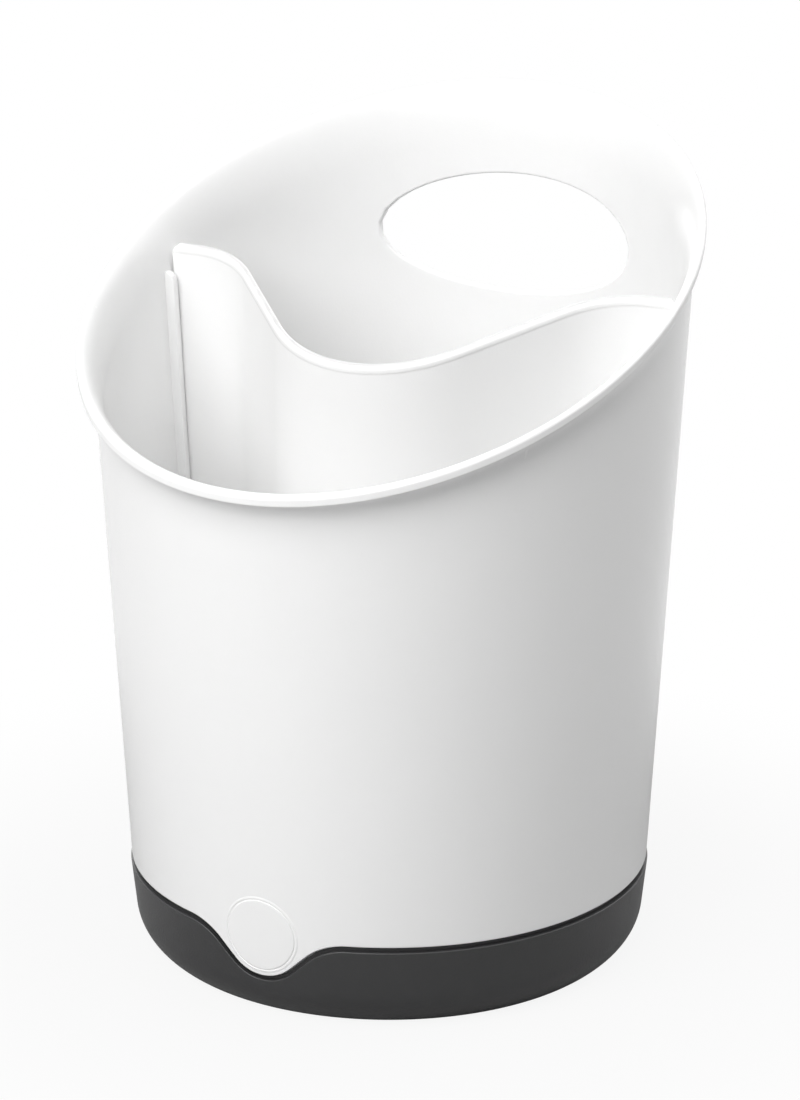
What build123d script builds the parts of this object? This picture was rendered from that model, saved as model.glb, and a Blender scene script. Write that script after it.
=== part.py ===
from build123d import *
import os
from math import sqrt, tan, sin, cos, radians

os.makedirs("parts", exist_ok=True)

# Utensil holder: a tapered white cup with a slanted flared rim, a loose divider inside,
# and a dark bowl-shaped drip tray underneath on four soft pads.
# Millimetres. +Z is up from the surface it stands on, and the low side of the rim faces -Y.

# Container wall
edge_height = 23.4           # the outer wall's lower edge, above the surface
edge_radius = 70.0           # outer radius of the wall at that edge
wall_draft = 2.92            # degrees from vertical, wider upwards
wall = 2.0

# Rim: a slanted cut of the wall, flared out until it is round in plan about the cup's axis
rim_height = 181.65          # top of the rim at the axis
rim_tilt = 25.4              # degrees, low at the front
rim_overhang = 1.06          # past the plain wall at the rim's highest point
lip_height = 2.4             # the rim's upright outer edge
lip_land = 1.3               # from the upright edge in to where the flare begins
lip_round = 0.8              # its upper arris
inside_flare = 15.0          # how far below the rim the inside begins to flare
outside_flare = 10.0         # how far below the rim the outside begins to flare
flare_turn = 78.0            # degrees that the sheet has turned at the rim
flare_steps = 4              # straight bands that make the flare's curve
lip_steps = 2                # and those of its upper arris

# Hand hole in the back wall
hand_hole_width = 76.4
hand_hole_height = 32.8
hand_hole_below = 41.9       # its centre below the rim's highest point

# Tongue of the outer wall's wavy lower edge, and the round medallion on it
tongue_above_turn = 2.03     # the tray's dip ends this far above where its side turns under
tongue_radius = 11.5
tongue_flank = 43.0          # degrees from horizontal
tongue_shoulder = 16.0       # radius where the flank meets the level edge
medallion_radius = 9.6
medallion_margin = 1.9       # from the medallion down to the tongue's lowest point
medallion_proud = 0.25       # its flat face in front of the wall, at its centre
medallion_edge = 0.2

# Floor, and the skirt that stands in the drip tray
skirt_foot = 8.6             # the skirt's lower edge, above the surface
floor_top = 13.6
floor_wall = 2.0
ledge_rise = 3.0             # the inside slopes out over this height, from skirt to wall
drain_hole = 5.0
drain_ring = 36.0            # radius of the ring of holes round the middle one
drain_count = 6

# Divider
divider_wall = 2.0
divider_below_rim = 9.0      # its top edge runs this far below the rim, parallel to it
divider_front = 21.8         # the middle of the bell, in front of the axis
divider_back = 14.2          # the two ends, behind the axis
bell_flank = 42.3            # degrees that each side of the bell turns
bell_nose_share = 0.572      # of the two radii that turn a side, the part that the nose has
bell_reach = 2.5             # each side comes straight this far past the guide ribs' inner edge
bead_height = 1.6            # thicker band along the top edge
bead_proud = 0.15            # on each face
bead_bevel = 0.5
divider_corner = 2.4

# Guide ribs inside the cup, a pair at each end of the divider
rib_depth = 3.4
rib_thick = 2.4
rib_below = 7.2              # their tops, below the divider's ends
rib_round = 2.5

# Drip tray
tray_proud = 0.4             # its top edge outside the container's lower edge
tray_draft = 5.8             # degrees from vertical
tray_curve = 12.3            # radius of the side where it turns under
tray_turn = 55.3             # degrees from level at which the side meets the base
tray_steps = 3               # straight bands that make the curve
tray_wall = 2.0
tray_floor = 2.4
tray_bevel = 0.7
seat_ribs = 6
seat_rib_thick = 2.4
seat_rib_length = 13.0       # in from the tray's edge
seat_rib_angle = 30.0        # degrees, of the first

# Feet
foot_proud = 0.6             # pads stand this far below the tray
foot_radius = 6.0
foot_thick = 1.6
foot_count = 4
foot_angle = 45.0            # degrees, of the first
foot_inset = 3.8             # from the pads out to the edge of the base

# Clearances
edge_gap = 0.45              # between the container's lower edge and the tray's
skirt_gap = 0.5              # between the skirt and the tray's wall
divider_gap = 0.5            # between the divider's ends and the cup's wall
guide_gap = 0.4              # between the divider and each rib
foot_gap = 0.1               # round each pad in its recess
overrun = 20.0               # how far a cutting form runs past what it cuts

# Values worked out from the sizes above
draft_slope = tan(radians(wall_draft))
rim_slope = tan(radians(rim_tilt))
tray_slope = tan(radians(tray_draft))
plain_radius = edge_radius + (rim_height - edge_height) * draft_slope
rim_radius = (plain_radius + rim_overhang) / (1 - rim_slope * draft_slope)
rim_top = rim_height + rim_slope * rim_radius
top_clear = rim_top + overrun
hand_hole_centre = rim_top - hand_hole_below
bead_wall = divider_wall + 2 * bead_proud
ledge = edge_height + ledge_rise
floor_under = floor_top - floor_wall
tray_radius = edge_radius + tray_proud
tray_top = edge_height - edge_gap
tray_base = foot_proud
tray_floor_top = tray_base + tray_floor
tray_floor_middle = tray_base + tray_floor / 2
skirt_inset = tray_wall + skirt_gap
curve_height = tray_base + tray_curve * sin(radians(tray_turn))
tray_mid = curve_height - tray_curve * sin(radians(tray_draft))
tongue_drop = tray_top - tray_mid - tongue_above_turn
medallion_centre = edge_height - tongue_drop + medallion_margin + medallion_radius


def wall_radius(height, inset=0.0):
    """Radius of the cup's outer skin at a height, moved in by inset."""
    return edge_radius - inset + (height - edge_height) * draft_slope


def tray_side(height, inset=0.0):
    """Radius of the tray's straight outer side at a height, moved in by inset."""
    return tray_radius - inset + (height - tray_top) * tray_slope


curve_middle = tray_side(tray_mid) - tray_curve * cos(radians(tray_draft))
base_radius = curve_middle + tray_curve * cos(radians(tray_turn))
foot_ring = base_radius - foot_inset - foot_radius


def bowl_radius(height):
    """Radius of the tray's inside: a straight side over a sloping corner that keeps the wall's thickness."""
    inside_curve = tray_curve - tray_wall
    corner_foot = curve_middle + sqrt(inside_curve**2 - (curve_height - tray_floor_top) ** 2)
    corner_slope = (tray_side(tray_mid, tray_wall) - corner_foot) / (tray_mid - tray_floor_top)
    return min(corner_foot + (height - tray_floor_top) * corner_slope, tray_side(height, tray_wall))


def skirt_radius(height, inset=0.0):
    """Radius of the skirt's outer side, which runs straight from its foot up to the wall's edge."""
    foot = bowl_radius(skirt_foot) - skirt_gap
    slope = (tray_side(edge_height, skirt_inset) - foot) / (edge_height - skirt_foot)
    return foot - inset + (height - skirt_foot) * slope


def rim_plane(below=0.0):
    """A plane parallel to the rim, this far below it."""
    tilt = radians(rim_tilt)
    return Plane(origin=(0, 0, rim_height - below), x_dir=(1, 0, 0), z_dir=(0, -sin(tilt), cos(tilt)))


def rim_oval(below, inset, rim_inset, share):
    """Oval on a plane parallel to the rim: the plain wall at share 0, the round rim at share 1."""
    pinch = draft_slope * rim_slope
    radius = wall_radius(rim_height - below, inset)
    round_rim = rim_radius - rim_inset
    x_radius = radius / sqrt(1 - pinch**2) * (1 - share) + round_rim * share
    y_radius = radius / (1 - pinch**2) * (1 - share) + round_rim * share
    y_centre = radius * pinch / (1 - pinch**2) * (1 - share)
    stretch = 1 / cos(radians(rim_tilt))
    with BuildSketch(rim_plane(below)) as oval:
        with Locations((0, y_centre * stretch)):
            Ellipse(x_radius, y_radius * stretch)
    return oval.sketch


def flare(inset, rim_inset, start, end):
    """Sections of a skin that runs up the plain wall and then curves out to the round rim."""
    sections = []
    full_turn = radians(flare_turn)
    for step in range(flare_steps + 1):
        turn = full_turn * step / flare_steps
        share = (1 - cos(turn)) / (1 - cos(full_turn))
        below = start - (start - end) * sin(turn) / sin(full_turn)
        sections.append(rim_oval(below, inset, rim_inset, share))
    return sections


def lip():
    """Sections of the rim's outer edge, from above its lower arris up and round to the top."""
    sections = []
    for step in range(lip_steps + 1):
        turn = radians(90) * step / lip_steps
        sections.append(rim_oval(lip_round * (1 - sin(turn)), 0.0, lip_round * (1 - cos(turn)), 1.0))
    return sections


def wave_outline(gap):
    """Front view of the space above the wavy edge, widened by a gap, up to a level top."""
    level = edge_height - gap
    flank = radians(tongue_flank)
    radius = tongue_radius + gap
    shoulder = tongue_shoulder - gap
    corner = level - tongue_drop - radius * (1 / cos(flank) - 1)
    half = (level - corner) / tan(flank)
    side = half + shoulder * tan(flank / 2) + wall
    FilletPolyline((-side, level), (-half, level), (0, corner), (half, level), (side, level),
                   radius=[shoulder, radius, shoulder])
    Polyline((side, level), (side, ledge), (-side, ledge), (-side, level))


def cavity_outline(gap, floor):
    """Half section of the cup's inside, smaller by a gap all round."""
    Polyline((0, floor), (skirt_radius(floor, wall + gap), floor),
             (skirt_radius(edge_height, wall + gap), edge_height), (wall_radius(ledge, wall + gap), ledge),
             (wall_radius(top_clear, wall + gap), top_clear), (0, top_clear), close=True)


def disc(radius, height):
    """Level section of the tray."""
    with BuildSketch(Plane.XY.offset(height)) as section:
        Circle(radius)
    return section.sketch


def tray_form():
    """Sections of the tray's outside, from its base up round the curve and on to its top edge."""
    sections = []
    for step in range(tray_steps + 1):
        turn = radians(tray_turn + (tray_draft - tray_turn) * step / tray_steps)
        sections.append(disc(curve_middle + tray_curve * cos(turn), curve_height - tray_curve * sin(turn)))
    return sections + [disc(tray_radius, tray_top)]


def bowl_form(sink=0.0):
    """Sections of the tray's inside, grown into its wall and floor by sink."""
    return [disc(bowl_radius(tray_floor_top) + sink, tray_floor_top - sink),
            disc(bowl_radius(tray_mid) + sink, tray_mid), disc(bowl_radius(tray_top) + sink, tray_top)]


def bell_plan(thickness):
    """Plan of the divider: a round nose, straight flanks and tails that turn out to the wall."""
    turn = radians(bell_flank)
    depth = divider_front + divider_back
    reach = wall_radius(floor_top, wall) - rib_depth + bell_reach
    radii = (reach * sin(turn) - depth * cos(turn)) / (1 - cos(turn))
    nose_radius = radii * bell_nose_share
    tail_radius = radii - nose_radius
    with BuildSketch() as plan:
        with BuildLine():
            nose = CenterArc((0, nose_radius - divider_front), nose_radius, -90, bell_flank)
            tail = CenterArc((reach, divider_back - tail_radius), tail_radius, 90 + bell_flank, -bell_flank)
            Line(nose @ 1, tail @ 0)
            Line(tail @ 1, (rim_radius, divider_back))
        trace(line_width=thickness)
        mirror(about=Plane.YZ)
    return plan.sketch


# The cup's outer form, filled: first the tongue, a piece of ring with the wave as its front view
with BuildPart() as tongue:
    with BuildSketch(Plane.XZ):
        with BuildLine():
            wave_outline(0.0)
        make_face()
    extrude(amount=rim_radius)
    with BuildSketch(Plane.XZ):
        with BuildLine():
            Polyline((skirt_radius(skirt_foot, wall / 2), skirt_foot), (wall_radius(skirt_foot), skirt_foot),
                     (wall_radius(ledge), ledge), (skirt_radius(ledge, wall / 2), ledge), close=True)
        make_face()
    revolve(axis=Axis.Z, mode=Mode.INTERSECT)

with BuildPart() as outer_form:
    with BuildSketch(Plane.XZ):
        with BuildLine():
            Polyline((0, skirt_foot), (skirt_radius(skirt_foot), skirt_foot),
                     (skirt_radius(edge_height), edge_height), (edge_radius, edge_height),
                     (wall_radius(top_clear), top_clear), (0, top_clear), close=True)
        make_face()
    revolve(axis=Axis.Z)
    split(bisect_by=rim_plane(outside_flare), keep=Keep.BOTTOM)
    loft(flare(0.0, 0.0, outside_flare, lip_height) + lip(), ruled=True)
    add(tongue.part)

# The cup's inside, which leaves an even wall and thins out to the lip
with BuildPart() as cavity:
    with BuildSketch(Plane.XZ):
        with BuildLine():
            cavity_outline(0.0, floor_top)
        make_face()
    revolve(axis=Axis.Z)
    split(bisect_by=rim_plane(inside_flare), keep=Keep.BOTTOM)
    loft(flare(wall, lip_land, inside_flare, 0.0), ruled=True)

# Guide ribs, sunk into wall and floor, with a slot between them for the divider
rib_top = rim_height - divider_below_rim + divider_back * rim_slope - rib_below
slot = divider_wall + 2 * guide_gap
with BuildPart() as guide_ribs:
    with BuildSketch(Plane.XZ.offset(-divider_back - slot / 2 - rib_thick)) as face:
        with BuildLine():
            Polyline((wall_radius(floor_under, wall + rib_depth), floor_under),
                     (wall_radius(rib_top, wall + rib_depth), rib_top), (rim_radius, rib_top),
                     (rim_radius, floor_under), close=True)
        make_face()
        fillet(face.vertices().group_by(Axis.Y)[-1].sort_by(Axis.X)[0], rib_round)
        mirror(about=Plane.YZ)
    extrude(amount=slot + 2 * rib_thick)
    with BuildSketch(Plane.XY.offset(floor_under)):
        with Locations((0, divider_back)):
            Rectangle(2 * rim_radius, slot)
    extrude(amount=rib_top, mode=Mode.SUBTRACT)
    with BuildSketch(Plane.XZ):
        with BuildLine():
            cavity_outline(-wall / 2, floor_top - floor_wall / 2)
        make_face()
    revolve(axis=Axis.Z, mode=Mode.INTERSECT)

with BuildPart() as container:
    add(outer_form.part)
    add(cavity.part, mode=Mode.SUBTRACT)

    # Hollow under the floor, inside the skirt
    with BuildSketch(Plane.XZ):
        with BuildLine():
            Polyline((0, skirt_foot), (skirt_radius(skirt_foot, wall), skirt_foot),
                     (skirt_radius(floor_under, wall), floor_under), (0, floor_under), close=True)
        make_face()
    revolve(axis=Axis.Z, mode=Mode.SUBTRACT)

    # Hand hole through the back wall
    with BuildSketch(Plane.XZ):
        with Locations((0, hand_hole_centre)):
            Ellipse(hand_hole_width / 2, hand_hole_height / 2)
    extrude(amount=-rim_radius, mode=Mode.SUBTRACT)

    # Drain holes through the floor, one in the middle and a ring round it
    with BuildSketch(Plane.XY.offset(floor_top)):
        Circle(drain_hole / 2)
        with PolarLocations(drain_ring, drain_count):
            Circle(drain_hole / 2)
    extrude(amount=-floor_wall, mode=Mode.SUBTRACT)
    add(guide_ribs.part)

    # Medallion, flat and square to the wall
    lean = radians(wall_draft)
    spot = Plane(origin=(0, -wall_radius(medallion_centre), medallion_centre),
                 x_dir=(1, 0, 0), z_dir=(0, -cos(lean), -sin(lean)))
    with BuildSketch(spot.offset(-wall / 2)):
        Circle(medallion_radius)
    extrude(amount=wall / 2 + medallion_proud)
    badge = container.faces().filter_by(spot).sort_by(Axis.Y)[0]
    chamfer(badge.edges(), medallion_edge)

container.part.label = "container"
export_step(container.part, "parts/container.step")

# Where the divider may be: the cup's inside less a gap, up to just below the rim, with rounded corners
end_top = rim_height - divider_below_rim + (divider_back + bead_wall / 2) * rim_slope
end_reach = sqrt(wall_radius(end_top, wall + divider_gap) ** 2 - divider_back**2)
with BuildPart() as divider_space:
    with BuildSketch(Plane.XZ):
        with BuildLine():
            cavity_outline(divider_gap, floor_top)
        make_face()
    revolve(axis=Axis.Z)
    split(bisect_by=rim_plane(divider_below_rim), keep=Keep.BOTTOM)
    with BuildSketch(Plane.XZ) as face:
        with BuildLine():
            Polyline((-end_reach, floor_top), (end_reach, floor_top), (end_reach, end_top),
                     (-end_reach, end_top), close=True)
        make_face()
        fillet(face.vertices().group_by(Axis.Y)[-1], divider_corner)
    extrude(amount=rim_radius, both=True, mode=Mode.INTERSECT)

with BuildPart() as divider_web:
    extrude(bell_plan(divider_wall), amount=top_clear)
    split(bisect_by=rim_plane(divider_below_rim + bead_height), keep=Keep.BOTTOM)

# The divider: a rounded band along its slanted top edge, over a thinner wall
with BuildPart() as divider:
    extrude(bell_plan(bead_wall), amount=top_clear)
    split(bisect_by=rim_plane(divider_below_rim), keep=Keep.BOTTOM)
    top_face = divider.faces().filter_by(rim_plane()).sort_by(Axis.Z)[-1]
    chamfer(top_face.edges().filter_by(lambda edge: edge.length > 2 * bead_wall), bead_bevel)
    split(bisect_by=rim_plane(divider_below_rim + bead_height), keep=Keep.TOP)
    add(divider_web.part)
    add(divider_space.part, mode=Mode.INTERSECT)

divider.part.label = "divider"
export_step(divider.part, "parts/divider.step")

# Ribs in the drip tray that the container's skirt stands on
with BuildPart() as seat_rib_set:
    with BuildSketch(Plane.XY.offset(tray_floor_middle)):
        with PolarLocations(tray_radius - seat_rib_length / 2, seat_ribs, start_angle=seat_rib_angle):
            Rectangle(seat_rib_length, seat_rib_thick)
    extrude(amount=skirt_foot - tray_floor_middle)
    loft(bowl_form(tray_wall / 2), ruled=True, mode=Mode.INTERSECT)

# The drip tray: a shallow bowl whose bevelled edge dips round the cup's tongue
with BuildPart() as drip_tray:
    loft(tray_form(), ruled=True)
    loft(bowl_form(), ruled=True, mode=Mode.SUBTRACT)
    with BuildSketch(Plane.XZ):
        with BuildLine():
            wave_outline(edge_gap)
        make_face()
    extrude(amount=rim_radius, mode=Mode.SUBTRACT)
    side = drip_tray.faces().filter_by(GeomType.CONE).sort_by(SortBy.AREA)[-1]
    side_top = side.edges().filter_by(lambda edge: min((edge @ 0).Z, (edge @ 1).Z) > tray_mid + tray_bevel)
    chamfer(side_top, tray_bevel)
    add(seat_rib_set.part)

    # Pad recesses underneath
    with BuildSketch(Plane.XY.offset(tray_base)):
        with PolarLocations(foot_ring, foot_count, start_angle=foot_angle):
            Circle(foot_radius + foot_gap)
    extrude(amount=foot_thick - foot_proud, mode=Mode.SUBTRACT)

drip_tray.part.label = "drip_tray"
export_step(drip_tray.part, "parts/drip_tray.step")

# Soft pads, one in each recess under the tray
for number in range(foot_count):
    angle = radians(foot_angle + number * 360 / foot_count)
    spot = Plane(origin=(foot_ring * cos(angle), foot_ring * sin(angle), 0))
    with BuildPart() as foot:
        with BuildSketch(spot):
            Circle(foot_radius)
        extrude(amount=foot_thick)
    name = f"foot_{number + 1}"
    foot.part.label = name
    export_step(foot.part, f"parts/{name}.step")
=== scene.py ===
from math import asin, atan2, cos, degrees, pi, radians, sin, sqrt, tan

import bpy
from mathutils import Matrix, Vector


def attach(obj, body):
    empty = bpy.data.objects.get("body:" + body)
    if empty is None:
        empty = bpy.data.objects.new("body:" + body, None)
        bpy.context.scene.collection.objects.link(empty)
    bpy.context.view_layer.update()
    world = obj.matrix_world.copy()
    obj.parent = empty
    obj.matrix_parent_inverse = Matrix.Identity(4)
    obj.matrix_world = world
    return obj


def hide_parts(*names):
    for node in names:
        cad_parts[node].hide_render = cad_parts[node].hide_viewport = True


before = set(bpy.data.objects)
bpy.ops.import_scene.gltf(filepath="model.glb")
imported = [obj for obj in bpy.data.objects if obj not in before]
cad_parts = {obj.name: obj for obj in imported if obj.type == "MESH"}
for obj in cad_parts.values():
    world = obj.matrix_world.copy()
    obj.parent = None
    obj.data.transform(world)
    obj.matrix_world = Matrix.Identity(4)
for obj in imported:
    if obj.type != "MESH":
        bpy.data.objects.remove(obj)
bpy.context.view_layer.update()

# Utensil holder: a slanted white cup with a loose divider, on a dark drip tray with four pads.
# Sizes are in millimetres and are turned into metres as each mesh is made.
MM = 0.001

# Container wall and rim
edge_height = 23.4
edge_radius = 70.0
wall_draft = 2.92
wall = 2.0
edge_round = 0.35
rim_height = 181.65
rim_tilt = 25.4
rim_overhang = 1.06
lip_height = 2.4
lip_land = 1.3
lip_round = 0.8
lip_edge = 0.4
inside_flare = 15.0
outside_flare = 10.0
flare_turn = 78.0

# Hand hole
hand_hole_width = 76.4
hand_hole_height = 32.8
hand_hole_below = 41.9
hand_hole_round = 0.65

# Tongue and medallion
tongue_radius = 11.5
tongue_flank = 43.0
tongue_shoulder = 16.0
tongue_above_turn = 2.03
medallion_radius = 9.6
medallion_margin = 1.9
medallion_proud = 0.2
medallion_groove = 0.35              # width of the fine groove round it
medallion_fade = 0.8                 # the groove's outer lip fades into the wall over this width

# Floor, skirt and drain holes
skirt_foot = 8.6
floor_top = 13.6
floor_wall = 2.0
ledge_rise = 3.0
drain_hole = 5.0
drain_ring = 36.0
drain_count = 6

# Divider
divider_wall = 2.0
divider_below_rim = 9.0
divider_front = 21.8
divider_back = 14.2
bell_flank = 42.3
bell_nose_share = 0.572
bell_reach = 2.5
bead_height = 1.6
bead_proud = 0.06
bead_round = 0.95
divider_corner = 2.4
divider_gap = 0.5

# Guide ribs
rib_depth = 3.4
rib_thick = 2.4
rib_below = 7.2
rib_round = 2.5
guide_gap = 0.4

# Drip tray and pads
tray_proud = 0.4
tray_draft = 5.8
tray_curve = 12.3
tray_turn = 55.3
tray_wall = 2.0
tray_floor = 2.4
tray_bevel = 0.9
tray_step = 1.6                      # the tray's edge steps in this far above its outer arris
seat_rib_count = 6
seat_rib_thick = 2.4
seat_rib_length = 13.0
seat_rib_angle = 30.0
foot_proud = 0.6
foot_radius = 6.0
foot_thick = 1.6
foot_count = 4
foot_angle = 45.0
foot_inset = 3.8
edge_gap = 0.45
skirt_gap = 0.5

# Values worked out from the sizes above
draft_slope = tan(radians(wall_draft))
rim_slope = tan(radians(rim_tilt))
tray_slope = tan(radians(tray_draft))
plain_radius = edge_radius + (rim_height - edge_height) * draft_slope
rim_radius = (plain_radius + rim_overhang) / (1 - rim_slope * draft_slope)
rim_top = rim_height + rim_slope * rim_radius
hand_hole_centre = rim_top - hand_hole_below
ledge = edge_height + ledge_rise
floor_under = floor_top - floor_wall
tray_radius = edge_radius + tray_proud
tray_top = edge_height - edge_gap
tray_base = foot_proud
tray_floor_top = tray_base + tray_floor
skirt_inset = tray_wall + skirt_gap
curve_height = tray_base + tray_curve * sin(radians(tray_turn))
tray_mid = curve_height - tray_curve * sin(radians(tray_draft))
tongue_drop = tray_top - tray_mid - tongue_above_turn
medallion_centre = edge_height - tongue_drop + medallion_margin + medallion_radius


def wall_radius(height, inset=0.0):
    """Radius of the cup's outer skin at a height, moved in by inset."""
    return edge_radius - inset + (height - edge_height) * draft_slope


def tray_side(height, inset=0.0):
    """Radius of the tray's straight outer side at a height, moved in by inset."""
    return tray_radius - inset + (height - tray_top) * tray_slope


curve_middle = tray_side(tray_mid) - tray_curve * cos(radians(tray_draft))
base_radius = curve_middle + tray_curve * cos(radians(tray_turn))
foot_ring = base_radius - foot_inset - foot_radius


def bowl_radius(height):
    """Radius of the tray's inside as the solids have it, which the skirt clears."""
    inside_curve = tray_curve - tray_wall
    corner_foot = curve_middle + sqrt(inside_curve**2 - (curve_height - tray_floor_top) ** 2)
    corner_slope = (tray_side(tray_mid, tray_wall) - corner_foot) / (tray_mid - tray_floor_top)
    return min(corner_foot + (height - tray_floor_top) * corner_slope, tray_side(height, tray_wall))


def skirt_radius(height, inset=0.0):
    """Radius of the skirt's outer side, straight from its foot up to the wall's edge."""
    foot = bowl_radius(skirt_foot) - skirt_gap
    slope = (tray_side(edge_height, skirt_inset) - foot) / (edge_height - skirt_foot)
    return foot - inset + (height - skirt_foot) * slope


def wave_height(across, gap):
    """Height of the wavy edge at a distance across the front, lowered by a gap."""
    level = edge_height - gap
    flank = radians(tongue_flank)
    radius = tongue_radius + gap
    shoulder = tongue_shoulder - gap
    corner = level - tongue_drop - radius * (1 / cos(flank) - 1)
    shoulder_centre = (level - corner) / tan(flank) + shoulder * tan(flank / 2)
    nose_end = radius * sin(flank)
    shoulder_start = shoulder_centre - shoulder * sin(flank)
    across = abs(across)
    if across <= nose_end:
        return level - tongue_drop + radius - sqrt(radius**2 - across**2)
    if across <= shoulder_start:
        return corner + across * tan(flank)
    if across < shoulder_centre:
        return level - shoulder + sqrt(shoulder**2 - (shoulder_centre - across) ** 2)
    return level


def wave_at(turn, radius_at, gap):
    """Height of the wavy edge on a skin of revolution, at a turn round the cup from its front."""
    height = edge_height - gap
    if cos(turn) > 0:
        for _ in range(4):
            height = wave_height(radius_at(height) * sin(turn), gap)
    return height


def on_cup(turn, radius, height):
    """A point at a turn round the cup from its front."""
    return (radius * sin(turn), -radius * cos(turn), height)


def bend(start, corner, end, steps):
    """Points of a small rounding from start to end, pulled towards corner, without its first."""
    points = []
    for step in range(1, steps + 1):
        t = step / steps
        points.append(tuple((1 - t) ** 2 * a + 2 * t * (1 - t) * c + t * t * b
                            for a, c, b in zip(start, corner, end)))
    return points


def make_piece(name, points, faces, smooth_angle=32.0):
    """A mesh object from points in millimetres, smooth but for its sharp edges."""
    used = sorted({i for face in faces for i in face})
    place = {old: new for new, old in enumerate(used)}
    mesh = bpy.data.meshes.new(name)
    mesh.from_pydata([tuple(c * MM for c in points[i]) for i in used], [],
                     [tuple(place[i] for i in face) for face in faces])
    mesh.validate()
    mesh.polygons.foreach_set("use_smooth", [True] * len(mesh.polygons))
    mesh.set_sharp_from_angle(angle=radians(smooth_angle))
    mesh.update()
    piece = bpy.data.objects.new(name, mesh)
    bpy.context.scene.collection.objects.link(piece)
    return piece


def grid_faces(columns, rows, closed_columns, closed_rows, start=0, holes=()):
    """Quads of a grid whose point j, k has the index start + j * rows + k, less the windows in holes."""
    faces = []
    for j in range(columns if closed_columns else columns - 1):
        for k in range(rows if closed_rows else rows - 1):
            if any(ja <= j < jb and ka <= k < kb for ja, jb, ka, kb in holes):
                continue
            nj, nk = (j + 1) % columns, (k + 1) % rows
            here, beyond = start + j * rows, start + nj * rows
            faces.append((here + k, beyond + k, beyond + nk, here + nk))
    return faces


COLUMNS = 480
WALL_ROWS = 40
WINDOW_COLUMNS = (192, 288)          # the part of the back wall that the hand hole's mesh fills
WINDOW_ROWS = (29, 39)


def rim_point(turn, below, inset, rim_inset, share):
    """Radius and height on a plane parallel to the rim: plain wall at share 0, round rim at share 1."""
    plain = wall_radius(rim_height - below, inset) / (1 + rim_slope * draft_slope * cos(turn))
    radius = (1 - share) * plain + share * (rim_radius - rim_inset)
    return radius, rim_height - below - radius * cos(turn) * rim_slope


def flare_points(turn, inset, rim_inset, start, end, steps):
    """Radii and heights up a skin that leaves the plain wall and curves out to the round rim."""
    full = radians(flare_turn)
    points = []
    for step in range(steps + 1):
        bent = full * step / steps
        share = (1 - cos(bent)) / (1 - cos(full))
        points.append(rim_point(turn, start - (start - end) * sin(bent) / sin(full), inset, rim_inset, share))
    return points


def container_column(turn):
    """Section of the cup's wall at one turn: up the skirt and the outside, over the rim, down the inside."""
    points = [(skirt_radius(skirt_foot + 0.3), skirt_foot + 0.3)]
    step_height = wave_at(turn, lambda z: skirt_radius(z), 0.0)
    points.append((skirt_radius(step_height - 0.3), step_height - 0.3))
    points.append((skirt_radius(step_height), step_height))
    edge = wave_at(turn, lambda z: wall_radius(z), 0.0)
    face_in = (wall_radius(edge) - edge_round, edge)
    points.append((face_in[0] - 0.25, edge))
    points.append(face_in)
    points += bend(face_in, (wall_radius(edge), edge), (wall_radius(edge + edge_round), edge + edge_round), 4)
    points.append((wall_radius(edge + edge_round + 0.35), edge + edge_round + 0.35))
    low = edge + edge_round + 0.35
    outer = flare_points(turn, 0.0, lip_edge, outside_flare, lip_height, 16)
    high = outer[0][1]
    outer_start = len(points)
    for row in range(1, WALL_ROWS):
        height = low + (high - low) * row / WALL_ROWS
        points.append((wall_radius(height), height))
    points += outer
    lower = rim_point(turn, lip_height, 0.0, 0.0, 1.0)
    upright = rim_point(turn, lip_height - lip_edge, 0.0, 0.0, 1.0)
    points += bend(outer[-1], lower, upright, 3)
    points.append(rim_point(turn, lip_height - lip_edge - 0.2, 0.0, 0.0, 1.0))
    points.append(rim_point(turn, lip_round + 0.1, 0.0, 0.0, 1.0))
    points.append(rim_point(turn, lip_round, 0.0, 0.0, 1.0))
    for step in range(1, 7):
        bent = radians(90) * step / 6
        points.append(rim_point(turn, lip_round * (1 - sin(bent)), 0.0, lip_round * (1 - cos(bent)), 1.0))
    inner = flare_points(turn, wall, lip_land, inside_flare, 0.0, 20)
    points += inner[::-1]
    high = inner[0][1]
    low = ledge + 0.8
    inner_start = len(points)
    for row in range(1, WALL_ROWS):
        height = high + (low - high) * row / WALL_ROWS
        points.append((wall_radius(height, wall), height))
    points.append((wall_radius(low, wall), low))
    ledge_top = (wall_radius(ledge, wall), ledge)
    ledge_foot = (skirt_radius(edge_height, wall), edge_height)
    lead = tuple(a + (b - a) * 0.2 for a, b in zip(ledge_top, ledge_foot))
    points += bend((wall_radius(low, wall), low), ledge_top, lead, 4)
    points.append(tuple(a + (b - a) * 0.8 for a, b in zip(ledge_top, ledge_foot)))
    points += bend(points[-1], ledge_foot, (skirt_radius(edge_height - 0.8, wall), edge_height - 0.8), 4)
    points.append((skirt_radius(skirt_foot + 0.3, wall), skirt_foot + 0.3))
    foot_in = skirt_radius(skirt_foot, wall) + 0.3
    foot_out = skirt_radius(skirt_foot) - 0.3
    points += bend(points[-1], (skirt_radius(skirt_foot, wall), skirt_foot), (foot_in, skirt_foot), 2)
    points.append((foot_out, skirt_foot))
    points += bend(points[-1], (skirt_radius(skirt_foot), skirt_foot), points[0], 2)[:-1]
    return points, outer_start, inner_start


def window_loop(columns, rows_low_to_high):
    """Grid places round a window, along its foot, up, back along its top and down."""
    ja, jb = columns
    rows = rows_low_to_high
    loop = [(j, rows[0]) for j in range(ja, jb)]
    loop += [(jb, k) for k in rows[:-1]]
    loop += [(j, rows[-1]) for j in range(jb, ja, -1)]
    loop += [(ja, k) for k in rows[:0:-1]]
    return loop


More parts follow.
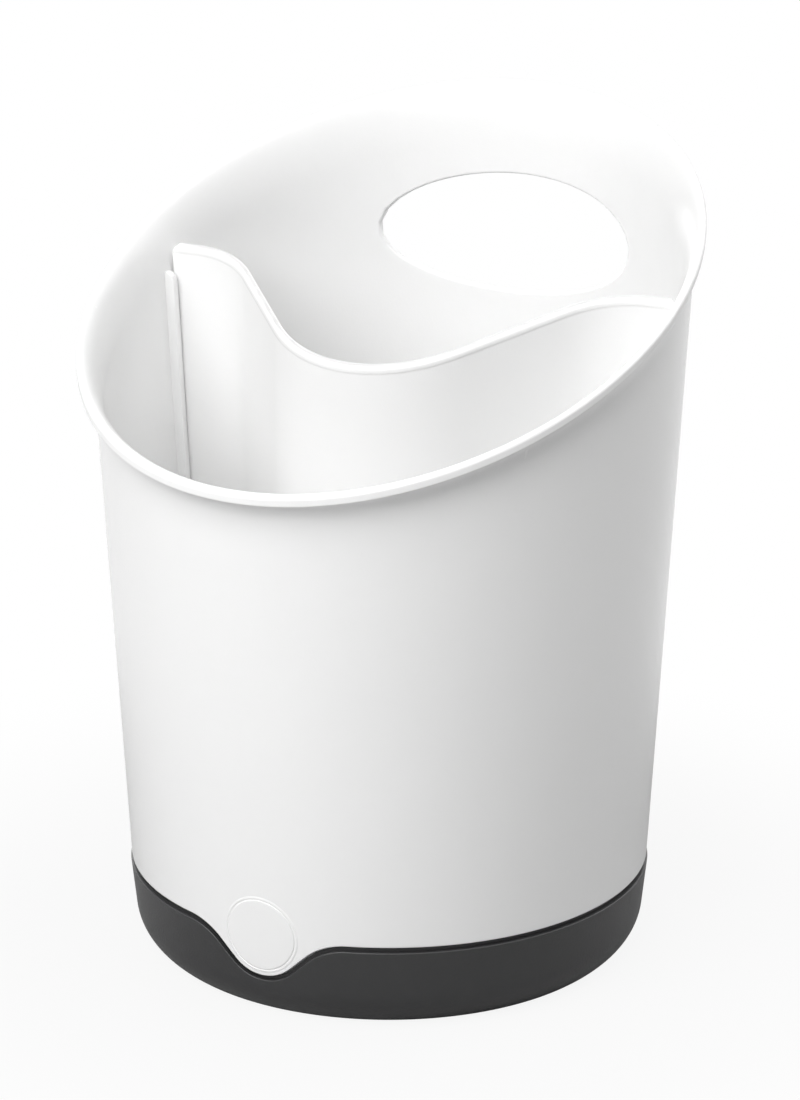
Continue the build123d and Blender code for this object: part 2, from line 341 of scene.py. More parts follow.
def hand_hole_mesh(points, outer_loop, inner_loop):
    """Rings of faces from the two windows to the oval hole, its rounded edges and its tunnel."""
    half_width, half_height = hand_hole_width / 2, hand_hole_height / 2
    turns = [atan2((points[i][2] - hand_hole_centre) / half_height, points[i][0] / half_width)
             for i in outer_loop]
    normals = []
    for t in turns:
        across, up = cos(t) / half_width, sin(t) / half_height
        size = sqrt(across**2 + up**2)
        normals.append((across / size, up / size))

    def oval(grow):
        return [(half_width * cos(t) + n[0] * grow, hand_hole_centre + half_height * sin(t) + n[1] * grow)
                for t, n in zip(turns, normals)]

    def skin(place, inset, sink):
        return (place[0], sqrt(wall_radius(place[1], inset) ** 2 - place[0] ** 2) + sink, place[1])

    def rings(loop, inset, way):
        made = []
        edge = oval(hand_hole_round)
        for share in (0.2, 0.4, 0.58, 0.74, 0.86, 0.95, 1.0):
            made.append([skin((points[i][0] * (1 - share) + e[0] * share,
                               points[i][2] * (1 - share) + e[1] * share), inset, 0.0)
                         for i, e in zip(loop, edge)])
        for share in (0.2, 0.4, 0.6, 0.8, 1.0):
            made.append([skin(place, inset, way * hand_hole_round * share**2)
                         for place in oval(hand_hole_round * (1 - share) ** 2)])
        return made

    faces = []
    count = len(outer_loop)
    last = list(outer_loop)
    chain = rings(outer_loop, 0.0, -1) + rings(inner_loop, wall, 1)[::-1]
    for ring in chain:
        start = len(points)
        points.extend(ring)
        here = list(range(start, start + count))
        faces += [(last[i], last[(i + 1) % count], here[(i + 1) % count], here[i]) for i in range(count)]
        last = here
    here = list(inner_loop)
    faces += [(last[i], last[(i + 1) % count], here[(i + 1) % count], here[i]) for i in range(count)]
    return faces


def make_container():
    """The cup's shell: skirt, wall, flared rim and hand hole in one closed mesh."""
    points = []
    for j in range(COLUMNS):
        turn = 2 * pi * j / COLUMNS
        section, outer_start, inner_start = container_column(turn)
        points += [on_cup(turn, radius, height) for radius, height in section]
    rows = len(section)
    low, high = (outer_start + row - 1 for row in WINDOW_ROWS)
    inner_low, inner_high = (inner_start + WALL_ROWS - row - 1 for row in WINDOW_ROWS)
    ja, jb = WINDOW_COLUMNS
    windows = ((ja, jb, low, high), (ja, jb, inner_high, inner_low))
    faces = grid_faces(COLUMNS, rows, True, True, holes=windows)
    outer = [j * rows + k for j, k in window_loop(WINDOW_COLUMNS, list(range(low, high + 1)))]
    inner = [j * rows + k for j, k in window_loop(WINDOW_COLUMNS, list(range(inner_low, inner_high - 1, -1)))]
    faces += hand_hole_mesh(points, outer, inner)
    return make_piece("container_shell", points, faces)


def turned(name, sections, columns=COLUMNS, poles=True, smooth_angle=32.0):
    """A closed form of revolution from its sections, with a point at each end of the axis."""
    points = [on_cup(2 * pi * j / columns, radius, height) for j, section in
              ((j, sections(2 * pi * j / columns)) for j in range(columns)) for radius, height in section]
    rows = len(sections(0.0))
    faces = grid_faces(columns, rows, True, not poles)
    if poles:
        first, last = len(points), len(points) + 1
        points += [(0, 0, sections(0.0)[0][1]), (0, 0, sections(0.0)[-1][1])]
        for j in range(columns):
            nj = (j + 1) % columns
            faces.append((first, nj * rows, j * rows))
            faces.append((last, j * rows + rows - 1, nj * rows + rows - 1))
    return make_piece(name, points, faces, smooth_angle)


def tray_column(turn):
    """Section of the tray at one turn: out along the base, up the side, over the edge, down to the floor."""
    points = [(radius, tray_base) for radius in (6.0, 20.0, 40.0, 55.0, base_radius - 1.0)]
    base_out = base_radius - 0.35
    points.append((base_out, tray_base))
    for step in range(15):
        bent = radians(tray_turn + (tray_draft - tray_turn) * step / 14)
        points.append((curve_middle + tray_curve * cos(bent), curve_height - tray_curve * sin(bent)))
    arris = wave_at(turn, lambda z: tray_side(z), edge_gap + tray_bevel)
    step = wave_at(turn, lambda z: tray_side(z, tray_step), edge_gap + tray_bevel)
    land = wave_at(turn, lambda z: tray_side(z, tray_step), edge_gap)
    soft, fine = 0.34, 0.1
    for row in range(1, 8):
        height = tray_mid + (arris - soft - 0.3 - tray_mid) * row / 7
        points.append((tray_side(height), height))
    points.append((tray_side(arris - soft), arris - soft))
    points += bend(points[-1], (tray_side(arris), arris), (tray_side(arris, soft), arris), 4)
    points.append((tray_side(step, tray_step - fine), step))
    points += bend(points[-1], (tray_side(step, tray_step), step),
                   (tray_side(step + fine, tray_step), step + fine), 2)
    points.append((tray_side(land - fine, tray_step), land - fine))
    points += bend(points[-1], (tray_side(land, tray_step), land),
                   (tray_side(land, tray_step + fine), land), 2)
    inner_edge = wave_at(turn, lambda z: tray_side(z, tray_wall), edge_gap)
    inner = (tray_side(inner_edge, tray_wall), inner_edge)
    points.append((inner[0] + 0.2, inner[1]))
    points += bend(points[-1], inner, (tray_side(inner_edge - 0.2, tray_wall), inner_edge - 0.2), 2)
    inside = tray_curve - tray_wall
    inner_foot = curve_height - inside * sin(radians(tray_draft))
    for row in range(1, 6):
        height = inner_edge - 0.2 + (inner_foot - inner_edge + 0.2) * row / 5
        points.append((tray_side(height, tray_wall), height))
    floor_turn = degrees(asin((curve_height - tray_floor_top) / inside))
    for step in range(1, 12):
        bent = radians(tray_draft + (floor_turn - tray_draft) * step / 11)
        points.append((curve_middle + inside * cos(bent), curve_height - inside * sin(bent)))
    points += [(radius, tray_floor_top) for radius in (55.0, 40.0, 20.0, 6.0)]
    return points


def bell_line(steps_per_arc=22):
    """Plan of the divider's middle line on its +X side: points with their sideways normals."""
    turn = radians(bell_flank)
    depth = divider_front + divider_back
    reach = wall_radius(floor_top, wall) - rib_depth + bell_reach
    radii = (reach * sin(turn) - depth * cos(turn)) / (1 - cos(turn))
    nose, tail = radii * bell_nose_share, radii * (1 - bell_nose_share)
    places = []
    for step in range(steps_per_arc + 1):
        t = turn * step / steps_per_arc
        places.append((nose * sin(t), nose * (1 - cos(t)) - divider_front, sin(t), -cos(t)))
    flank_end = places[-1]
    tail_start = (reach - tail * sin(turn), divider_back - tail * (1 - cos(turn)))
    for step in range(1, 10):
        share = step / 10
        places.append((flank_end[0] + (tail_start[0] - flank_end[0]) * share,
                       flank_end[1] + (tail_start[1] - flank_end[1]) * share, sin(turn), -cos(turn)))
    for step in range(steps_per_arc + 1):
        t = turn * (1 - step / steps_per_arc)
        places.append((reach - tail * sin(t), divider_back - tail * (1 - cos(t)), sin(t), -cos(t)))
    return places, reach


def divider_section(half):
    """Half section of the divider's sheet: thickness and distance below its top plane, top first."""
    bead = half + bead_proud
    section = [(bead * 0.3, 0.0), (bead - bead_round, 0.0)]
    section += bend((bead - bead_round, 0.0), (bead, 0.0), (bead, bead_round), 6)
    section.append((bead, bead_height - 0.2))
    section += bend((bead, bead_height - 0.15), (bead, bead_height), (half, bead_height + 0.1), 3)
    section += [(half, bead_height + 0.5), (half, 8.0), (half, 20.0)]
    return section


def make_divider():
    """The loose divider: a bell-shaped sheet with a slanted top edge."""
    line, reach = bell_line()
    half_section = divider_section(divider_wall / 2)
    bottom_rows = 12
    plane_height = rim_height - divider_below_rim

    def wall_reach(height, y):
        """How far along X the sheet may go at a height, with its rounded top corner."""
        limit = sqrt(wall_radius(height, wall + divider_gap) ** 2 - y**2) if height > ledge else \
            sqrt(skirt_radius(height, wall + divider_gap) ** 2 - y**2)
        top = plane_height + y * rim_slope
        drop = max(0.0, divider_corner - (top - height))
        return limit - divider_corner + sqrt(max(0.0, divider_corner**2 - drop**2))

    def column(place, along, thin):
        """Closed section round the sheet at a place; along runs from 0 to 1 over its last straight part."""
        x, y, nx, ny = place
        section = []
        for side in (1, -1):
            rows = []
            for half, below in half_section:
                half = half - thin if half > thin + 0.3 else half
                py = y + ny * half * side
                rows.append((half * side, plane_height - below + py * rim_slope, py))
            foot = floor_top + 0.05
            half = divider_wall / 2 - thin
            top = rows[-1][1]
            py = y + ny * half * side
            for row in range(1, bottom_rows + 1):
                rows.append((half * side, top + (foot + 0.3 - top) * row / bottom_rows, py))
            rows.append(((half - 0.1) * side, foot + 0.1, y + ny * (half - 0.1) * side))
            rows.append(((half - 0.3) * side, foot, y + ny * (half - 0.3) * side))
            section.append(rows)
        loop = section[0] + section[1][::-1]
        points = []
        for offset, height, py in loop:
            px = x + nx * offset
            if along > 0:
                px = reach + (wall_reach(height, py) - reach) * along
            points.append((px, py, height))
        return points

    stations = [(place, 0.0, 0.0) for place in line]
    tail = line[-1]
    stations += [(tail, along, 0.0) for along in (0.25, 0.5, 0.75, 0.88, 0.94)]
    stations += [(tail, 0.975, 0.08), (tail, 1.0, 0.3)]
    right = [column(*station) for station in stations]
    left = [[(-x, y, z) for x, y, z in points] for points in right[:0:-1]]
    columns = left + right
    rows = len(columns[0])
    points = [point for column_points in columns for point in column_points]
    faces = [face[::-1] for face in grid_faces(len(columns), rows, False, True)]
    for end, turn_round in ((0, False), (len(columns) - 1, True)):
        start = end * rows
        for k in range(rows // 2 - 1):
            face = (start + k, start + k + 1, start + rows - 2 - k, start + rows - 1 - k)
            faces.append(face if turn_round else face[::-1])
    return make_piece("divider_sheet", points, faces)


def guide_rib(side, behind):
    """One upright rib on the inside of the cup, sunk into its wall and floor, with rounded free edges."""
    near = divider_back + (divider_wall / 2 + guide_gap) * (1 if behind else -1)
    far = near + rib_thick * (1 if behind else -1)
    top = rim_height - divider_below_rim + divider_back * rim_slope - rib_below
    soft = 0.35

    def inner(height):
        return wall_radius(height, wall + rib_depth)

    heights = [floor_top - 1.0, edge_height - 1.0, ledge + 1.0, 60.0, 100.0, 140.0, top - rib_round]
    profile = [(inner(height), height) for height in heights]
    centre = (inner(top) + rib_round, top - rib_round)
    for step in range(1, 9):
        bent = radians(90) * step / 8
        profile.append((centre[0] - rib_round * cos(bent), centre[1] + rib_round * sin(bent)))
    points = []
    for reach_in, height in profile:
        skin = skirt_radius if height < edge_height else wall_radius
        root = sqrt(skin(min(height, top - 0.2), wall - 1.0) ** 2 - max(abs(near), abs(far)) ** 2)
        low, high = sorted((near, far))
        reach_in = min(reach_in, root - 0.5)
        row = [(root, low), (reach_in + soft, low), (reach_in + 0.1, low + 0.1), (reach_in, low + soft),
               (reach_in, high - soft), (reach_in + 0.1, high - 0.1), (reach_in + soft, high), (root, high)]
        points += [(side * x, y, height) for x, y in row]
    count = len(row)
    faces = [face if side > 0 else face[::-1] for face in grid_rows(len(profile), count)]
    cap_low = tuple(range(count))
    cap_high = tuple(range(len(points) - count, len(points)))
    faces.append(cap_low[::-1] if side < 0 else cap_low)
    faces.append(cap_high if side < 0 else cap_high[::-1])
    return points, faces


def grid_rows(rows, count):
    """Quads between closed rows of equal length, one above the other."""
    faces = []
    for low in range(0, (rows - 1) * count, count):
        high = low + count
        faces += [(low + i, high + i, high + (i + 1) % count, low + (i + 1) % count) for i in range(count)]
    return faces


def make_guide_ribs():
    """Two pairs of ribs that hold the divider's ends."""
    points, faces = [], []
    for side in (1, -1):
        for behind in (True, False):
            rib_points, rib_faces = guide_rib(side, behind)
            start = len(points)
            points += rib_points
            faces += [tuple(start + i for i in face) for face in rib_faces]
    return make_piece("guide_ribs", points, faces)


def make_medallion():
    """The bare round medallion, true to the wall's curve, with a fine groove round it."""
    groove_out = medallion_radius + medallion_groove
    profile = [(groove_out + medallion_fade, -1.0), (groove_out + medallion_fade, -0.06)]
    profile += bend(profile[-1], (groove_out + medallion_fade / 2, 0.14), (groove_out + 0.12, 0.14), 5)
    profile += bend(profile[-1], (groove_out, 0.14), (groove_out, 0.02), 3)
    profile += [(groove_out, -0.06), (medallion_radius, -0.06), (medallion_radius, medallion_proud - 0.15)]
    profile += bend(profile[-1], (medallion_radius, medallion_proud),
                    (medallion_radius - 0.25, medallion_proud), 4)
    profile += [(medallion_radius * share, medallion_proud) for share in (0.9, 0.7, 0.5, 0.3, 0.12)]
    lean = radians(wall_draft)
    columns = 96
    points = []
    for j in range(columns):
        turn = 2 * pi * j / columns
        for radius, proud in profile:
            across = radius * cos(turn)
            height = medallion_centre + radius * sin(turn) * cos(lean)
            skin = wall_radius(height)
            away = sqrt(skin**2 - across**2)
            grown = 1 + proud * cos(lean) / skin
            points.append((across * grown, -away * grown, height - proud * sin(lean)))
    rows = len(profile)
    faces = grid_faces(columns, rows, True, False)
    faces.append(tuple(j * rows + rows - 1 for j in range(columns)))
    faces.append(tuple(j * rows for j in range(columns))[::-1])
    return make_piece("medallion", points, faces)


def new_tree(name, floats=(), whole=()):
    """A geometry node tree with named inputs for its sizes, a material input and both geometry ends."""
    tree = bpy.data.node_groups.new(name, "GeometryNodeTree")
    face = tree.interface
    face.new_socket("Geometry", in_out="INPUT", socket_type="NodeSocketGeometry")
    for label in floats:
        face.new_socket(label, in_out="INPUT", socket_type="NodeSocketFloat")
    for label in whole:
        face.new_socket(label, in_out="INPUT", socket_type="NodeSocketInt")
    face.new_socket("Material", in_out="INPUT", socket_type="NodeSocketMaterial")
    face.new_socket("Geometry", in_out="OUTPUT", socket_type="NodeSocketGeometry")
    return tree, tree.nodes.new("NodeGroupInput"), tree.nodes.new("NodeGroupOutput")


def add(tree, kind, links=(), **settings):
    """A node with its settings, its inputs linked or set by name or number."""
    node = tree.nodes.new(kind)
    for key, value in settings.items():
        setattr(node, key, value)
    for key, value in links:
        if isinstance(value, bpy.types.NodeSocket):
            tree.links.new(value, node.inputs[key])
        else:
            node.inputs[key].default_value = value
    return node


def ring_of_copies_tree():
    """Copies of a piece modelled on the +X side, set out evenly round the axis."""
    tree, source, sink = new_tree("ring_of_copies", ("Ring Radius", "First Angle"), ("Count",))
    line = add(tree, "GeometryNodeMeshLine", [("Count", source.outputs["Count"]), ("Offset", (0, 0, 0))])
    step = add(tree, "ShaderNodeMath", [(0, 2 * pi), (1, source.outputs["Count"])], operation="DIVIDE")
    index = add(tree, "GeometryNodeInputIndex")
    angle = add(tree, "ShaderNodeMath", [(0, index.outputs[0]), (1, step.outputs[0]),
                                         (2, source.outputs["First Angle"])], operation="MULTIPLY_ADD")
    along = add(tree, "ShaderNodeMath", [(0, angle.outputs[0])], operation="COSINE")
    across = add(tree, "ShaderNodeMath", [(0, angle.outputs[0])], operation="SINE")
    way = add(tree, "ShaderNodeCombineXYZ", [(0, along.outputs[0]), (1, across.outputs[0])])
    place = add(tree, "ShaderNodeVectorMath", [(0, way.outputs[0])], operation="SCALE")
    tree.links.new(source.outputs["Ring Radius"], place.inputs["Scale"])
    moved = add(tree, "GeometryNodeSetPosition", [("Geometry", line.outputs[0]),
                                                  ("Position", place.outputs[0])])
    turn = add(tree, "ShaderNodeCombineXYZ", [(2, angle.outputs[0])])
    turned_way = add(tree, "FunctionNodeEulerToRotation", [(0, turn.outputs[0])])
    copies = add(tree, "GeometryNodeInstanceOnPoints", [("Points", moved.outputs[0]),
                                                        ("Instance", source.outputs["Geometry"]),
                                                        ("Rotation", turned_way.outputs[0])])
    real = add(tree, "GeometryNodeRealizeInstances", [(0, copies.outputs[0])])
    finish = add(tree, "GeometryNodeSetMaterial", [("Geometry", real.outputs[0]),
                                                   ("Material", source.outputs["Material"])])
    tree.links.new(finish.outputs[0], sink.inputs[0])
    return tree


def drained_floor_tree():
    """A round floor with one drain hole in its middle and a ring of them round it."""
    tree, source, sink = new_tree("drained_floor", ("Floor Radius", "Top Height", "Thickness", "Hole Radius",
                                                    "Ring Radius"), ("Ring Count",))
    rim = add(tree, "GeometryNodeCurvePrimitiveCircle", [("Resolution", 240),
                                                         ("Radius", source.outputs["Floor Radius"])])
    hole = add(tree, "GeometryNodeCurvePrimitiveCircle", [("Resolution", 48),
                                                          ("Radius", source.outputs["Hole Radius"])])
    ring = add(tree, "GeometryNodeMeshCircle", [("Vertices", source.outputs["Ring Count"]),
                                                ("Radius", source.outputs["Ring Radius"])])
    middle = add(tree, "GeometryNodeMeshLine", [("Count", 1)])
    spots = add(tree, "GeometryNodeJoinGeometry")
    tree.links.new(ring.outputs[0], spots.inputs[0])
    tree.links.new(middle.outputs[0], spots.inputs[0])
    holes = add(tree, "GeometryNodeInstanceOnPoints", [("Points", spots.outputs[0]),
                                                       ("Instance", hole.outputs[0])])
    curves = add(tree, "GeometryNodeJoinGeometry")
    tree.links.new(rim.outputs[0], curves.inputs[0])
    tree.links.new(holes.outputs[0], curves.inputs[0])
    real = add(tree, "GeometryNodeRealizeInstances", [(0, curves.outputs[0])])
    sheet = add(tree, "GeometryNodeFillCurve", [("Curve", real.outputs[0])], mode="TRIANGLES")
    lift = add(tree, "ShaderNodeCombineXYZ", [(2, source.outputs["Top Height"])])
    top = add(tree, "GeometryNodeSetPosition", [("Geometry", sheet.outputs[0]), ("Offset", lift.outputs[0])])
    depth = add(tree, "ShaderNodeMath", [(0, source.outputs["Thickness"]), (1, -1.0)], operation="MULTIPLY")
    down = add(tree, "ShaderNodeCombineXYZ", [(2, depth.outputs[0])])
    sunk = add(tree, "GeometryNodeExtrudeMesh", [("Mesh", top.outputs[0]), ("Offset", down.outputs[0]),
                                                 ("Offset Scale", 1.0), ("Individual", False)], mode="FACES")
    sunk_out = add(tree, "GeometryNodeFlipFaces", [("Mesh", sunk.outputs[0])])
    both = add(tree, "GeometryNodeJoinGeometry")
    tree.links.new(top.outputs[0], both.inputs[0])
    tree.links.new(sunk_out.outputs[0], both.inputs[0])
    whole = add(tree, "GeometryNodeMergeByDistance", [("Geometry", both.outputs[0]), ("Distance", 1e-6)])
    finish = add(tree, "GeometryNodeSetMaterial", [("Geometry", whole.outputs[0]),
                                                   ("Material", source.outputs["Material"])])
    tree.links.new(finish.outputs[0], sink.inputs[0])
    return tree


def grown(base, tree, name, **inputs):
    """The plain mesh that a tree makes from a base piece; inputs are named with _ for a space."""
    modifier = base.modifiers.new("grow", "NODES")
    modifier.node_group = tree
    for label, value in inputs.items():
        wanted = label.replace("_", " ")
        socket = next(item for item in tree.interface.items_tree
                      if item.item_type == "SOCKET" and item.in_out == "INPUT" and item.name == wanted)
        modifier[socket.identifier] = value
    bpy.context.view_layer.update()
    shown = base.evaluated_get(bpy.context.evaluated_depsgraph_get())
    mesh = bpy.data.meshes.new_from_object(shown)
    mesh.name = name
    base.modifiers.remove(modifier)
    old = base.data
    base.data = mesh
    bpy.data.meshes.remove(old)
    base.name = name
    return base


def make_floor(material):
    """The cup's floor with its drain holes."""
    base = make_piece("container_floor", [], [])
    floor = grown(base, drained_floor_tree(), "container_floor",
                  Floor_Radius=(skirt_radius(floor_under, wall) + 1.0) * MM, Top_Height=floor_top * MM,
                  Thickness=floor_wall * MM, Hole_Radius=drain_hole / 2 * MM, Ring_Radius=drain_ring * MM,
                  Ring_Count=drain_count, Material=material)
    return floor


def make_seat_ribs(tree, material):
    """Ribs in the tray that the skirt stands on, sunk into its floor and side."""
    inner = tray_radius - seat_rib_length
    foot = tray_floor_top - 1.0
    soft = 0.35
    half = seat_rib_thick / 2
    side = [(bowl_radius(tray_floor_top) - 0.5, foot), (bowl_radius(5.0) + 0.8, 5.0),
            (bowl_radius(skirt_foot) + 1.0, skirt_foot)]

    def row(sink):
        """Outline of the rib in radius and height, drawn in by sink at its free edges."""
        return [(inner + sink, foot), *side[:2], (side[2][0], skirt_foot - sink),
                (inner + sink, skirt_foot - sink)]

    points = []
    layers = [(-half, soft), (-half + 0.1, 0.1), (-half + soft, 0.0),
              (half - soft, 0.0), (half - 0.1, 0.1), (half, soft)]
    for y, sink in layers:
        points += [(x, y, z) for x, z in row(sink)]
    count = len(row(0.0))
    faces = grid_rows(len(layers), count)
    faces.append(tuple(range(count)))
    faces.append(tuple(range((len(layers) - 1) * count, len(layers) * count))[::-1])
    rib = make_piece("seat_ribs", points, faces)
    return grown(rib, tree, "seat_ribs", Ring_Radius=0.0, First_Angle=radians(seat_rib_angle),
                 Count=seat_rib_count, Material=material)


def make_pads(tree, material):
    """Four soft round pads with a slightly crowned foot."""
    profile = [(4.2, 0.0)]
    profile += bend((4.9, 0.0), (foot_radius, 0.05), (foot_radius, 0.75), 6)
    profile += [(foot_radius, foot_thick - 0.15), (foot_radius - 0.15, foot_thick), (3.0, foot_thick)]
    pad = turned("pads", lambda turn: profile, 72)
    return grown(pad, tree, "pads", Ring_Radius=foot_ring * MM, First_Angle=radians(foot_angle),
                 Count=foot_count, Material=material)


def new_group(name, inputs, outputs):
    """A shader node group with named inputs and outputs; an input is (label, kind, value)."""
    tree = bpy.data.node_groups.new(name, "ShaderNodeTree")
    for label, kind, value in inputs:
        socket = tree.interface.new_socket(label, in_out="INPUT", socket_type=kind)
        if value is not None:
            socket.default_value = value
    for label, kind in outputs:
        tree.interface.new_socket(label, in_out="OUTPUT", socket_type=kind)
    return tree, tree.nodes.new("NodeGroupInput"), tree.nodes.new("NodeGroupOutput")


def moulded_skin_group():
    """The faint unevenness of a moulded surface: broad ripple, fine grain, and the marks of handling."""
    value, vector = "NodeSocketFloat", "NodeSocketVector"
    tree, source, sink = new_group(
        "moulded_skin",
        [("Place", vector, None), ("Ripple Scale", value, 22.0), ("Ripple Depth", value, 0.2),
         ("Grain Scale", value, 1800.0), ("Grain Depth", value, 0.02), ("Rough", value, 0.25),
         ("Rough Spread", value, 0.06), ("Scratch Scale", value, 160.0), ("Scratch Amount", value, 0.03)],
        [("Normal", vector), ("Roughness", value), ("Tone", value)])
    ripple = add(tree, "ShaderNodeTexNoise", [("Vector", source.outputs["Place"]),
                                              ("Scale", source.outputs["Ripple Scale"]), ("Detail", 1.0)])
    grain = add(tree, "ShaderNodeTexNoise", [("Vector", source.outputs["Place"]),
                                             ("Scale", source.outputs["Grain Scale"]), ("Detail", 2.0)])
    broad = add(tree, "ShaderNodeMath", [(0, ripple.outputs["Fac"]), (1, source.outputs["Ripple Depth"])],
                operation="MULTIPLY")
    height = add(tree, "ShaderNodeMath", [(0, grain.outputs["Fac"]), (1, source.outputs["Grain Depth"]),
                                          (2, broad.outputs[0])], operation="MULTIPLY_ADD")
    bump = add(tree, "ShaderNodeBump", [("Strength", 1.0), ("Distance", 0.001),
                                        ("Height", height.outputs[0])])
    smudge = add(tree, "ShaderNodeTexNoise", [("Vector", source.outputs["Place"]), ("Scale", 34.0),
                                              ("Detail", 5.0), ("Distortion", 0.6)])
    stretched = add(tree, "ShaderNodeMapping", [("Vector", source.outputs["Place"]),
                                                ("Scale", (1.0, 1.0, 0.06)),
                                                ("Rotation", (0.35, 0.2, 0.0))])
    lines = add(tree, "ShaderNodeTexNoise", [("Vector", stretched.outputs[0]),
                                             ("Scale", source.outputs["Scratch Scale"]), ("Detail", 3.0)])
    hairline = add(tree, "ShaderNodeMapRange", [("Value", lines.outputs["Fac"]),
                                                ("From Min", 0.66), ("From Max", 0.74)])
    worn = add(tree, "ShaderNodeMath", [(0, hairline.outputs[0]), (1, source.outputs["Scratch Amount"])],
               operation="MULTIPLY")
    centred = add(tree, "ShaderNodeMath", [(0, smudge.outputs["Fac"]), (1, 0.5)], operation="SUBTRACT")
    spread = add(tree, "ShaderNodeMath", [(0, centred.outputs[0]), (1, source.outputs["Rough Spread"]),
                                          (2, source.outputs["Rough"])], operation="MULTIPLY_ADD")
    rough = add(tree, "ShaderNodeMath", [(0, spread.outputs[0]), (1, worn.outputs[0])], operation="ADD")
    tree.links.new(bump.outputs[0], sink.inputs["Normal"])
    tree.links.new(rough.outputs[0], sink.inputs["Roughness"])
    tree.links.new(smudge.outputs["Fac"], sink.inputs["Tone"])
    return tree


def plastic(name, skin, light, dark, specular=0.5, **values):
    """A moulded material: two close tones of one colour over the shared moulded skin."""
    material = bpy.data.materials.new(name)
    material.use_nodes = True
    tree = material.node_tree
    shader = tree.nodes["Principled BSDF"]
    place = add(tree, "ShaderNodeTexCoord")
    surface = add(tree, "ShaderNodeGroup", node_tree=skin)
    tree.links.new(place.outputs["Object"], surface.inputs["Place"])
    for label, value in values.items():
        surface.inputs[label.replace("_", " ")].default_value = value
    colour = add(tree, "ShaderNodeMix", data_type="RGBA")
    colour.inputs["A"].default_value = (*dark, 1.0)
    colour.inputs["B"].default_value = (*light, 1.0)
    tree.links.new(surface.outputs["Tone"], colour.inputs["Factor"])
    tree.links.new(colour.outputs["Result"], shader.inputs["Base Color"])
    tree.links.new(surface.outputs["Roughness"], shader.inputs["Roughness"])
    tree.links.new(surface.outputs["Normal"], shader.inputs["Normal"])
    shader.inputs["Specular IOR Level"].default_value = specular
    return material


FLOOR_HALF = 8.0
FLOOR_TONE = 0.5
# How far out, in metres, the floor turns from its own tone into plain white, and how white it is nearest the
# object, as the camera sees it and as glossy surfaces do.
FLOOR_FADES = {"Is Camera Ray": (0.08, 0.22, 0.9), "Is Glossy Ray": (0.12, 0.3, 0.0)}


def make_stage_floor():
    """A floor that keeps the object's shadow and runs out into plain white."""
    half = FLOOR_HALF
    mesh = bpy.data.meshes.new("studio_floor")
    corners = [(-half, -half, 0), (half, -half, 0), (half, half, 0), (-half, half, 0)]
    mesh.from_pydata(corners, [], [(0, 1, 2, 3)])
    floor = bpy.data.objects.new("studio_floor", mesh)
    bpy.context.scene.collection.objects.link(floor)
    material = bpy.data.materials.new("studio_floor")
    material.use_nodes = True
    tree = material.node_tree
    shader = tree.nodes["Principled BSDF"]
    shader.inputs["Base Color"].default_value = (FLOOR_TONE, FLOOR_TONE, FLOOR_TONE, 1.0)
    shader.inputs["Roughness"].default_value = 0.9
    shader.inputs["Specular IOR Level"].default_value = 0.0
    glow = add(tree, "ShaderNodeEmission", [("Color", (1, 1, 1, 1)), ("Strength", 1.0)])
    place = add(tree, "ShaderNodeTexCoord")
    away = add(tree, "ShaderNodeVectorMath", [(0, place.outputs["Object"])], operation="LENGTH")
    path = add(tree, "ShaderNodeLightPath")
    seen = []
    for ray, (near, far, least) in FLOOR_FADES.items():
        fade = add(tree, "ShaderNodeMapRange", [("Value", away.outputs["Value"]), ("From Min", near),
                                                ("From Max", far), ("To Min", least), ("To Max", 1.0)],
                   interpolation_type="SMOOTHSTEP")
        seen.append(add(tree, "ShaderNodeMath", [(0, fade.outputs[0]), (1, path.outputs[ray])],
                        operation="MULTIPLY"))
    share = add(tree, "ShaderNodeMath", [(0, seen[0].outputs[0]), (1, seen[1].outputs[0])],
                operation="MAXIMUM")
    mixed = add(tree, "ShaderNodeMixShader", [(0, share.outputs[0]), (1, shader.outputs[0]),
                                              (2, glow.outputs[0])])
    tree.links.new(mixed.outputs[0], tree.nodes["Material Output"].inputs["Surface"])
    mesh.materials.append(material)


def make_backdrop():
    """A white surround that the camera and glossy surfaces see, and that lights nothing else."""
    world = bpy.data.worlds.new("studio")
    bpy.context.scene.world = world
    world.use_nodes = True
    tree = world.node_tree
    path = add(tree, "ShaderNodeLightPath")
    seen = add(tree, "ShaderNodeMath", [(0, path.outputs["Is Camera Ray"]),
                                        (1, path.outputs["Is Glossy Ray"])], operation="MAXIMUM")
    background = tree.nodes["Background"]
    background.inputs["Color"].default_value = (1, 1, 1, 1)
    tree.links.new(seen.outputs[0], background.inputs["Strength"])


CAMERA_AZIMUTH = 28.0
CAMERA_ELEVATION = 17.4
CAMERA_DISTANCE = 0.840
CAMERA_AIM_HEIGHT = 0.10665
CAMERA_LENS = 103.68
CAMERA_SHIFT_X = 0.0097
LAMP_DISTANCE = 1.3
LAMP_SIZE = 1.1
LAMP_AIM_HEIGHT = 0.11
# Each lamp's turn from the camera's azimuth, its elevation in degrees and its power in watts
LAMPS = {
    "key_front": (-35, 42, 17.1),
    "fill_left": (-75, 30, 2.4),
    "high_front": (10, 55, 1.0),
    "high_right": (80, 70, 6.6),
    "low_right": (110, 20, 5.0),
    "low_back": (187, 18, 7.0),
}


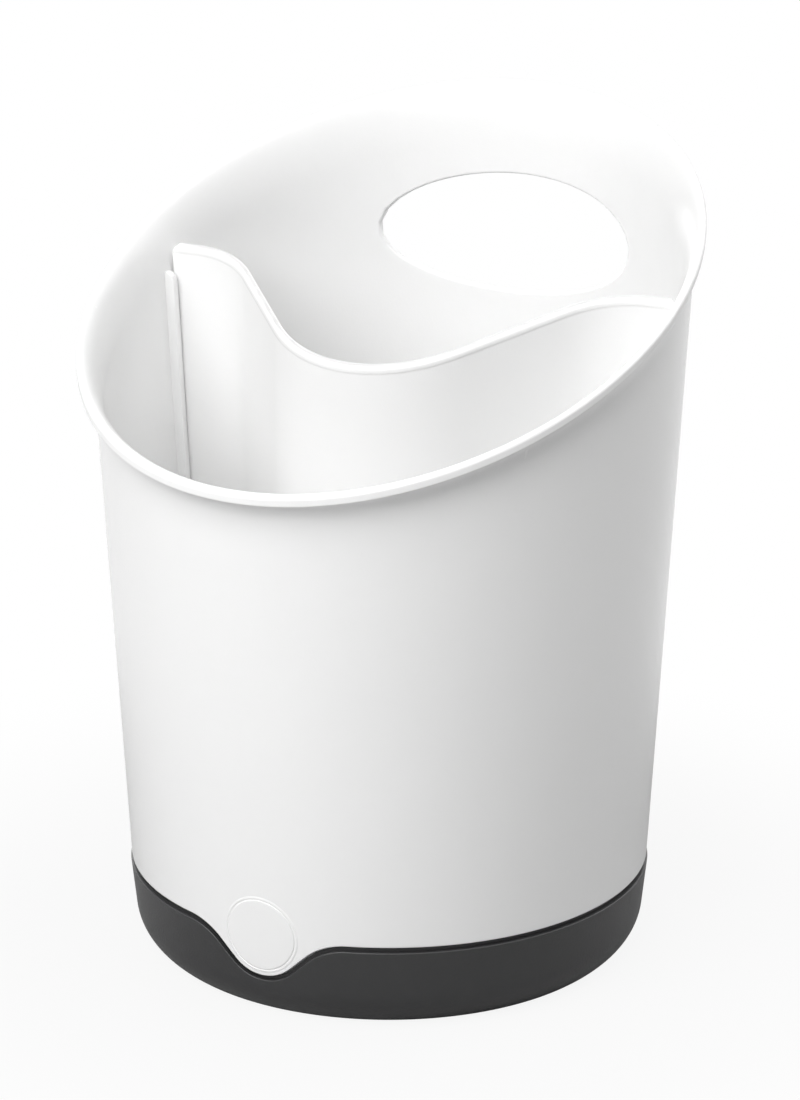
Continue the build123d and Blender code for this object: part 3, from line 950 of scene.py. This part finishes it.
def aimed(name, data, azimuth, elevation, distance, aim_height):
    """A lamp or camera that looks at the object's axis; azimuth runs from the front, -Y, towards +X."""
    holder = bpy.data.objects.new(name, data)
    bpy.context.scene.collection.objects.link(holder)
    a, e = radians(azimuth), radians(elevation)
    way = Vector((sin(a) * cos(e), -cos(a) * cos(e), sin(e)))
    holder.location = Vector((0, 0, aim_height)) + way * distance
    holder.rotation_euler = way.to_track_quat("Z", "Y").to_euler()
    return holder


def make_lamps():
    """Soft square lamps round the object."""
    for name, (turn, elevation, power) in LAMPS.items():
        lamp = bpy.data.lights.new(name, "AREA")
        lamp.shape = "SQUARE"
        lamp.size = LAMP_SIZE
        lamp.energy = power
        aimed(name, lamp, CAMERA_AZIMUTH + turn, elevation, LAMP_DISTANCE, LAMP_AIM_HEIGHT)


def make_camera():
    """The camera, at the photograph's angle."""
    camera = bpy.data.cameras.new("camera")
    camera.sensor_width = 36.0
    camera.lens = CAMERA_LENS
    camera.shift_x = CAMERA_SHIFT_X
    bpy.context.scene.camera = aimed("camera", camera, CAMERA_AZIMUTH, CAMERA_ELEVATION, CAMERA_DISTANCE,
                                     CAMERA_AIM_HEIGHT)


skin = moulded_skin_group()
white = plastic("white_gloss_plastic", skin, (0.93, 0.93, 0.928), (0.92, 0.92, 0.918), Rough=0.24)
grey = plastic("dark_satin_plastic", skin, (0.034, 0.034, 0.035), (0.029, 0.029, 0.03), Rough=0.4,
               Rough_Spread=0.1, Grain_Depth=0.05, Scratch_Amount=0.06)
rubber = plastic("soft_pad_rubber", skin, (0.03, 0.03, 0.03), (0.022, 0.022, 0.022), Rough=0.75,
                 Rough_Spread=0.15, Grain_Depth=0.12, Grain_Scale=900.0)

copies = ring_of_copies_tree()
container = make_container()
floor = make_floor(white)
ribs = make_guide_ribs()
medallion = make_medallion()
divider = make_divider()
tray = turned("tray_bowl", tray_column)
seat_ribs = make_seat_ribs(copies, grey)
pads = make_pads(copies, rubber)

for piece in (container, ribs, medallion, divider):
    piece.data.materials.append(white)
tray.data.materials.append(grey)

for piece in (container, floor, ribs, medallion):
    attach(piece, "container")
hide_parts("container")
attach(divider, "divider")
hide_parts("divider")
for piece in (tray, seat_ribs):
    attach(piece, "tray")
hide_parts("drip_tray")
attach(pads, "tray")
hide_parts("foot_1", "foot_2", "foot_3", "foot_4")

make_stage_floor()
make_backdrop()
make_lamps()
make_camera()
bpy.context.scene.view_settings.view_transform = "Standard"
